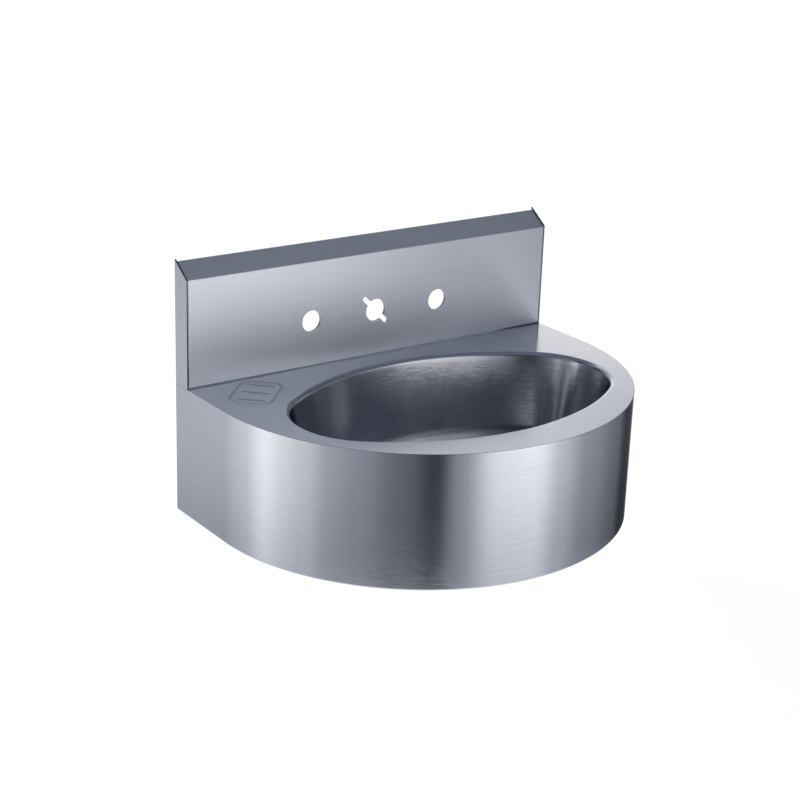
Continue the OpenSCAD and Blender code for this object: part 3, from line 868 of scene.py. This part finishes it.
def grain_group():
    tree = bpy.data.node_groups.new("Brushed grain", "ShaderNodeTree")
    add_sockets(tree, "INPUT", {"Stretch": "Vector", "Roughness": "Float", "Spread": "Float",
                                "Depth": "Float", "Across": "Vector"})
    add_sockets(tree, "OUTPUT", {"Roughness": "Float", "Shade": "Float", "Normal": "Vector"})
    given = tree.nodes.new("NodeGroupInput").outputs
    where = tree.nodes.new("ShaderNodeTexCoord").outputs["Object"]
    stretched = add(tree, "ShaderNodeVectorMath", where, given["Stretch"], operation="MULTIPLY")
    fine = add(tree, "ShaderNodeTexNoise", stretched, **FINE)
    broad = add(tree, "ShaderNodeTexNoise", where, **BROAD)
    both = add(tree, "ShaderNodeMath", fine, broad, operation="ADD")
    centred = add(tree, "ShaderNodeMath", both, 1.0, operation="SUBTRACT")
    roughness = add(tree, "ShaderNodeMath", centred, given["Spread"], given["Roughness"],
                    operation="MULTIPLY_ADD")
    shade = add(tree, "ShaderNodeMapRange", fine, NOISE_LOW, NOISE_HIGH)
    bump = add(tree, "ShaderNodeBump", Distance=GRAIN_HEIGHT_M, Height=fine,
               Strength=given["Depth"])
    finer = add(tree, "ShaderNodeVectorMath", stretched, operation="SCALE", Scale=SCRATCH_FINER)
    scratch = add(tree, "ShaderNodeTexNoise", finer, **SCRATCH)
    centred = add(tree, "ShaderNodeMath", scratch, 0.5, operation="SUBTRACT")
    tilt = add(tree, "ShaderNodeVectorMath", given["Across"], operation="SCALE", Scale=centred)
    lean = add(tree, "ShaderNodeVectorMath", bump, tilt, operation="ADD")
    normal = add(tree, "ShaderNodeVectorMath", lean, operation="NORMALIZE")
    feed(tree, tree.nodes.new("NodeGroupOutput"),
         {"Roughness": roughness, "Shade": shade, "Normal": normal})
    return tree


GRAIN = grain_group()
print("grain group:", len(GRAIN.nodes), "nodes")

# %% [markdown]
# Each sheet was brushed its own way: the panel along its length, the deck from front to back,
# the end caps upright, and the apron and the bowl level, all the way round. The stretch of
# the noise says which way: each number is roughly how many scratches lie in a metre. A
# roughness of 0.15 still shows the studio's bands, and the panel's 0.40 shows only a soft
# change from light to dark.

# %% The steels
def brushed(name, colour, dark, stretch, roughness, spread=0.1, depth=0.2, across=(0, 0, 0)):
    """A steel whose colour moves a little between two tones along its scratches"""
    mat, tree, shader = new_material(name)
    grain = tree.nodes.new("ShaderNodeGroup")
    grain.node_tree = GRAIN
    feed(tree, grain, {"Stretch": stretch, "Roughness": roughness, "Spread": spread,
                       "Depth": depth, "Across": across})
    tone = colour_mix(tree, grain.outputs["Shade"], (*dark, 1), (*colour, 1))
    feed(tree, shader, {"Metallic": 1.0, "Base Color": tone,
                        "Roughness": grain.outputs["Roughness"],
                        "Normal": grain.outputs["Normal"]})
    return mat


STEEL, STEEL_DARK = (0.60, 0.635, 0.70), (0.55, 0.585, 0.65)
ALONG_X, ALONG_Y, UPRIGHT = (5.0, 1000.0, 1000.0), (10.0, 1100.0, 10.0), (1400.0, 1400.0, 10.0)
LEVEL = (12.0, 12.0, 2000.0)
panel_steel = brushed("Panel steel", (0.72, 0.76, 0.835), (0.66, 0.70, 0.775), ALONG_X, 0.40,
                      spread=0.05, depth=0.03, across=(0, 0, 0.15))
deck_steel = brushed("Deck steel", STEEL, STEEL_DARK, ALONG_Y, 0.17, spread=0.06, depth=0.08)
apron_steel = brushed("Apron steel", STEEL, STEEL_DARK, LEVEL, 0.155,
                      spread=0.06, depth=0.08, across=(0, 0, 0.14))
bowl_steel = brushed("Bowl steel", (0.60, 0.62, 0.67), (0.52, 0.54, 0.59), LEVEL, 0.15,
                     spread=0.06, depth=0.08, across=(0, 0, 0.3))
cap_steel = brushed("Cap steel", STEEL, STEEL_DARK, UPRIGHT, 0.28)
mill_steel = brushed("Mill steel", (0.30, 0.315, 0.35), (0.24, 0.25, 0.28), (40.0, 40.0, 40.0),
                     0.42)
zinc_steel = brushed("Zinc plated steel", (0.50, 0.53, 0.56), (0.40, 0.43, 0.47),
                     (160.0, 160.0, 160.0), 0.38)
polished_steel = brushed("Polished steel", (0.68, 0.69, 0.71), (0.64, 0.65, 0.67),
                         (900.0, 900.0, 60.0), 0.13, spread=0.05, depth=0.05)
nut_brass = brushed("Turned brass", (0.62, 0.44, 0.20), (0.52, 0.36, 0.15),
                    (700.0, 700.0, 700.0), 0.3)

# %% [markdown]
# Three sheets need one thing more. The panel spreads its reflections upright, which is what
# anisotropy does. The cut edges of the end caps, whose faces look along the plate, get a
# painted shade in place of the shade along their seams. The soap recess gets a thin darker line.

# %% Spread, painted shade on the caps' cut edges, and recess lines
# Painted shade: a dark colour for the caps' edge faces, and how far from facing along x a face may
# turn before it gets it
CAP_EDGE_PAINTED_SHADE, SHADE_FACING_LIMIT = (0.12, 0.13, 0.16), 0.6
LINE_STEEL = (0.29, 0.32, 0.39)
PANEL_SPREAD = 0.8


def darken(mat, share, colour):
    """Mix the base colour that the material has with a darker one"""
    tree = mat.node_tree
    base = tree.nodes["Principled BSDF"].inputs["Base Color"]
    mixed = colour_mix(tree, share, base.links[0].from_socket, (*colour, 1))
    tree.links.new(mixed, base)


tree = panel_steel.node_tree
upright = add(tree, "ShaderNodeCombineXYZ", 0.0, 0.0, 1.0)
feed(tree, tree.nodes["Principled BSDF"], {"Anisotropic": PANEL_SPREAD, "Tangent": upright})

# Painted shade: the caps' edge faces are mixed towards a dark colour, standing in for the shade
# along their seams
tree = cap_steel.node_tree
facing = tree.nodes.new("ShaderNodeNewGeometry").outputs["Normal"]
facing_x = add(tree, "ShaderNodeMath", add(tree, "ShaderNodeSeparateXYZ", facing),
               operation="ABSOLUTE")
darken(cap_steel, add(tree, "ShaderNodeMath", facing_x, SHADE_FACING_LIMIT, operation="LESS_THAN"),
       CAP_EDGE_PAINTED_SHADE)

line_share = deck_steel.node_tree.nodes.new("ShaderNodeAttribute")
line_share.attribute_name = "line"
darken(deck_steel, line_share.outputs["Fac"], LINE_STEEL)
print("darkened:", cap_steel.name, "and", deck_steel.name)

# %% [markdown]
# Rubber and the bitumen pads are dull, but never one flat grey: moulded rubber has a fine
# bloom, and the pads are coarse like felted paper.

# %% Dull materials
DULL_SPREAD, DULL_HEIGHT_M, DULL_SPECULAR = 0.1, 0.0004, 0.35


def dull(name, light, dark, scale, roughness, depth):
    mat, tree, shader = new_material(name)
    where = tree.nodes.new("ShaderNodeTexCoord").outputs["Object"]
    noise = add(tree, "ShaderNodeTexNoise", where, Scale=scale, Detail=4.0, Roughness=0.65)
    rough = add(tree, "ShaderNodeMapRange", noise, 0.0, 1.0, roughness - DULL_SPREAD,
                roughness + DULL_SPREAD)
    bump = add(tree, "ShaderNodeBump", Distance=DULL_HEIGHT_M, Strength=depth, Height=noise)
    feed(tree, shader, {"Base Color": colour_mix(tree, noise, (*dark, 1), (*light, 1)),
                        "Specular IOR Level": DULL_SPECULAR, "Roughness": rough,
                        "Normal": bump})
    return mat


seal_rubber = dull("Seal rubber", (0.05, 0.05, 0.052), (0.03, 0.03, 0.032),
                   scale=600.0, roughness=0.6, depth=0.3)
damping = dull("Damping pad", (0.10, 0.10, 0.11), (0.04, 0.04, 0.045),
               scale=260.0, roughness=0.85, depth=0.8)
print("dull:", seal_rubber.name, "and", damping.name)

# %% [markdown]
# ## Join the pieces to the frame
# Each piece takes its material, rides on the one body that the part has, and hides the CAD
# node that it stands for.

# %% Pieces, bodies and finishes
BODY = "root"
plan = [
    (deck, deck_steel, "sheet_steel", ["deck"]),
    (upturn, deck_steel, "sheet_steel", ["deck"]),
    (bowl, bowl_steel, "sheet_steel", ["bowl"]),
    (apron, apron_steel, "sheet_steel", ["apron"]),
    (panel, panel_steel, "sheet_steel", ["upstand_panel"]),
    (caps[0], cap_steel, "sheet_steel", ["end_cap_left"]),
    (caps[1], cap_steel, "sheet_steel", ["end_cap_right"]),
    (backing, mill_steel, "inner_steel", ["tap_backing_plate"]),
    (grid, polished_steel, "polished_steel", ["waste_grid"]),
]
slot_finish = {"inner_steel": mill_steel, "zinc_steel": zinc_steel,
               "polished_steel": polished_steel, "seal_rubber": seal_rubber,
               "damping_pad": damping, "nut_brass": nut_brass}
slot_of = {s["node"]: s["material_slot"] for s in frame["record"]["subparts"]}
plan += [(obj, slot_finish[slot_of[node]], slot_of[node], [node]) for node, obj in dressed.items()]
for obj, material, slot, stands_for in plan:
    obj.data.materials.clear()
    obj.data.materials.append(material)
    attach(obj, BODY)
    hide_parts(*stands_for)
print("pieces:", len(plan))

# %% [markdown]
# ## The studio
# Steel shows its surroundings more than itself, so the studio matters as much as the finish.
# The floor is pale and lies as far below the sink as a real floor does. The background is
# plain white.

# %% Floor and backdrop
FLOOR_Z = -0.86
FLOOR_HALF_M = 30.0


def empty_material(name):
    """A material with no shader yet. Gives its tree and the socket that takes the shader"""
    mat, tree, _ = new_material(name)
    tree.nodes.clear()
    return mat, tree, tree.nodes.new("ShaderNodeOutputMaterial").inputs["Surface"]


def pale_cloth(name, white, share):
    """Matt to the light, and partly white by itself where the eye, a mirror or a glass sees it"""
    mat, tree, surface = empty_material(name)
    ray = tree.nodes.new("ShaderNodeLightPath").outputs
    seen = add(tree, "ShaderNodeMath", ray["Is Camera Ray"], ray["Is Glossy Ray"],
               operation="MAXIMUM")
    seen = add(tree, "ShaderNodeMath", seen, ray["Is Transmission Ray"], operation="MAXIMUM")
    part = add(tree, "ShaderNodeMath", seen, share, operation="MULTIPLY")
    matt = add(tree, "ShaderNodeBsdfDiffuse", (0.8, 0.8, 0.8, 1))
    glow = add(tree, "ShaderNodeEmission", (1, 1, 1, 1), white)
    tree.links.new(add(tree, "ShaderNodeMixShader", part, matt, glow), surface)
    return mat


def stage_mesh(name, points, faces, material, seen=False):
    mesh = bpy.data.meshes.new(name)
    mesh.from_pydata(points, [], faces)
    mesh.materials.append(material)
    obj = link_object(name, mesh)
    obj.visible_camera = seen
    return obj


corners = [(x * FLOOR_HALF_M, y * FLOOR_HALF_M, FLOOR_Z)
           for x, y in ((-1, -1), (1, -1), (1, 1), (-1, 1))]
stage_mesh("studio_floor", corners, [(0, 1, 2, 3)],
           pale_cloth("Pale floor", white=1.11, share=0.86), seen=True)
world = bpy.data.worlds.new("Studio") if scene.world is None else scene.world
scene.world = world
world.use_nodes = True
feed(world.node_tree, world.node_tree.nodes["Background"],
     {"Color": (1, 1, 1, 1), "Strength": 1.0})
print("floor at", FLOOR_Z, "m")

# %% [markdown]
# Area lamps could light the sink, but steel would mirror each as a hard rectangle. So it
# hangs in a round tent of cloth that the camera doesn't see. The cloth is bright where a
# soft box stands behind it and dark where the room is dark, and those zones become the bands
# on the steel. Each table below is one level of the tent, as pairs of a direction and a
# brightness. Directions are in degrees, 0 towards the user and 90 to the user's right. The
# low rows are what the apron mirrors, the middle ones the panel and the bowl, and the high
# ones the deck.

# %% Levels of the tent
TENT_TOP = 1.35
FOOT_SHARE, TOP_SHARE = 0.55, 0.20
LOW = [(-90, 0.94), (-76, 0.56), (-62, 0.42), (-42, 0.21), (-24, 0.04), (-14, 0.44), (6, 1.24),
       (26, 1.34), (42, 0.78), (60, 0.42), (90, 0.21), (101, 0.05), (118, 0.08), (126, 1.10),
       (155, 1.10), (180, 0.80), (210, 0.62), (234, 0.92), (248, 1.45), (260, 1.12), (270, 0.88)]
FOOT = [(angle, level * FOOT_SHARE) for angle, level in LOW]
MIDDLE = [(-90, 0.45), (-66, 0.35), (-44, 0.14), (-25, 0.03), (-14, 0.40), (0, 0.86), (15, 1.05),
          (28, 1.00), (36, 0.60), (46, 0.32), (60, 0.20), (72, 0.30), (84, 0.12), (95, 0.40),
          (103, 0.12), (111, 0.45), (119, 0.10), (127, 1.10), (150, 1.05), (180, 0.20),
          (210, 0.05), (232, 0.50), (246, 2.00), (258, 1.20), (270, 0.45)]
HIGH = [(-90, 0.30), (-44, 0.14), (-24, 0.08), (-8, 0.65), (4, 1.80), (28, 2.20), (36, 1.70),
        (44, 0.80), (60, 0.16), (95, 0.12), (118, 0.14), (127, 0.70), (135, 0.86), (145, 0.76),
        (180, 0.40), (215, 0.30), (230, 0.06), (248, 0.03), (258, 0.25), (270, 0.30)]
FRONT = [(6, 1.90), (20, 4.10), (28, 4.10), (34, 3.00), (40, 1.20), (48, 0.45)]
TOP = [(angle, level * TOP_SHARE if -30 < angle < 50 else level) for angle, level in HIGH]


def swap(stops, start, end, new):
    """A level with new stops in place of those between two directions"""
    return sorted([stop for stop in stops if not start < stop[0] < end] + new)


BAND = swap(LOW, 0, 50, FRONT)
# What the rim's right end mirrors: a soft box high up behind
BOX = swap(TOP, 140, 225, [(140, 0.80), (155, 0.85), (195, 0.85), (222, 0.20)])
# What the bowl's right end mirrors: bright above the user's left hand, dark higher up
INNER = swap(MIDDLE, -80, -50, [(-80, 0.50), (-70, 1.00), (-58, 0.40)])
SIDE = swap(MIDDLE, -91, -50, [(-90, 0.06), (-60, 0.10)])
SIDE = swap(SIDE, 250, 271, [(256, 0.20), (270, 0.06)])
TENT_ROWS = [(-0.85, FOOT), (-0.50, LOW), (-0.42, LOW), (-0.32, BAND), (-0.16, BAND),
             (-0.02, INNER), (0.12, INNER), (0.20, SIDE), (0.28, SIDE), (0.42, MIDDLE),
             (0.52, HIGH), (0.64, TOP), (0.74, TOP), (0.86, BOX), (TENT_TOP, BOX)]
print("tent:", len(TENT_ROWS), "rows, from", TENT_ROWS[0][0], "to", TENT_TOP, "m")

# %% [markdown]
# The tent's wall is a mesh of many small faces whose points carry a colour, worked out from
# the levels above. Between two stops the brightness eases, because cloth has no hard edges.
# Dim cloth looks bluer than lit cloth. A grey roof closes the tent at the top.

# %% Tent
TENT_R = 1.5
TENT_AT = (0.0, -0.15)
TENT_FOOT = FLOOR_Z + 0.01
WALL_SIDES, WALL_ROWS = 180, 45
DIM_TINT, LIT_TINT = Vector((0.92, 0.965, 1.12)), Vector((1.02, 0.985, 0.96))
ROOF_TINT = (0.155, 0.168, 0.214, 1)


def between(stops, at):
    for (a, va), (b, vb) in zip(stops, stops[1:]):
        if a <= at <= b:
            return va + (vb - va) * soft((at - a) / (b - a))
    return stops[-1][1]


def tent_colour(angle, z):
    level = between([(row_z, between(row, angle)) for row_z, row in TENT_ROWS], z)
    return (*(DIM_TINT.lerp(LIT_TINT, min(level, 1.0)) * level), 1)


def glowing(name, colour):
    """Cloth that glows in a colour, or in the colours stored at its points under a name"""
    mat, tree, surface = empty_material(name)
    if isinstance(colour, str):
        stored = tree.nodes.new("ShaderNodeAttribute")
        stored.attribute_name = colour
        colour = stored.outputs["Color"]
    tree.links.new(add(tree, "ShaderNodeEmission", colour), surface)
    return mat


turns = [2 * math.pi * i / WALL_SIDES for i in range(WALL_SIDES)]
ring = [(TENT_AT[0] + TENT_R * math.cos(a), TENT_AT[1] + TENT_R * math.sin(a)) for a in turns]
heights = [TENT_FOOT + (TENT_TOP - TENT_FOOT) * k / WALL_ROWS for k in range(WALL_ROWS + 1)]
tent = stage_mesh("tent_wall", [(x, y, z) for z in heights for x, y in ring],
                  bridge([ring] * (WALL_ROWS + 1)), glowing("Tent cloth", "cloth"))
cloth = tent.data.color_attributes.new("cloth", "FLOAT_COLOR", "POINT")
for i, vertex in enumerate(tent.data.vertices):
    x, y, z = vertex.co
    angle = math.degrees(math.atan2(x - TENT_AT[0], TENT_AT[1] - y))
    cloth.data[i].color = tent_colour(angle if angle > -90 else angle + 360, z)
stage_mesh("tent_roof", [(x, y, TENT_TOP) for x, y in ring], [tuple(range(WALL_SIDES))],
           glowing("Roof cloth", ROOF_TINT))
print("tent wall:", len(tent.data.polygons), "faces")

# %% [markdown]
# ## Camera
# The camera stands where the photographer stood: to the user's left, about two metres away
# and a little above the sink, with a long lens. Its place, its turn and its lens were fitted
# to the outline of the sink in the photo.

# %% Camera
AZIMUTH, ELEVATION, ROLL = math.radians(-35.826), math.radians(19.913), math.radians(1.943)
CAMERA_AT = (-1.13645, -1.65436, 0.66263)
FOCAL_PX, PHOTO_PX, SENSOR_MM = 1776.62, 800, 36.0
FAR_M = 100
back = Vector((math.sin(AZIMUTH) * math.cos(ELEVATION), -math.cos(AZIMUTH) * math.cos(ELEVATION),
               math.sin(ELEVATION)))
right = (-back).cross(Vector((0, 0, 1))).normalized()
up = right.cross(-back)
right, up = (right * math.cos(ROLL) + up * math.sin(ROLL),
             up * math.cos(ROLL) - right * math.sin(ROLL))
camera_data = bpy.data.cameras.new("camera")
camera_data.sensor_width = SENSOR_MM
camera_data.lens = FOCAL_PX * SENSOR_MM / PHOTO_PX
camera_data.clip_end = FAR_M
camera = link_object("camera", camera_data)
camera.matrix_world = Matrix([(right[i], up[i], back[i], CAMERA_AT[i]) for i in range(3)]
                             + [(0, 0, 0, 1)])
scene.camera = camera
scene.view_settings.view_transform = "Standard"
print("lens", round(camera_data.lens, 2))
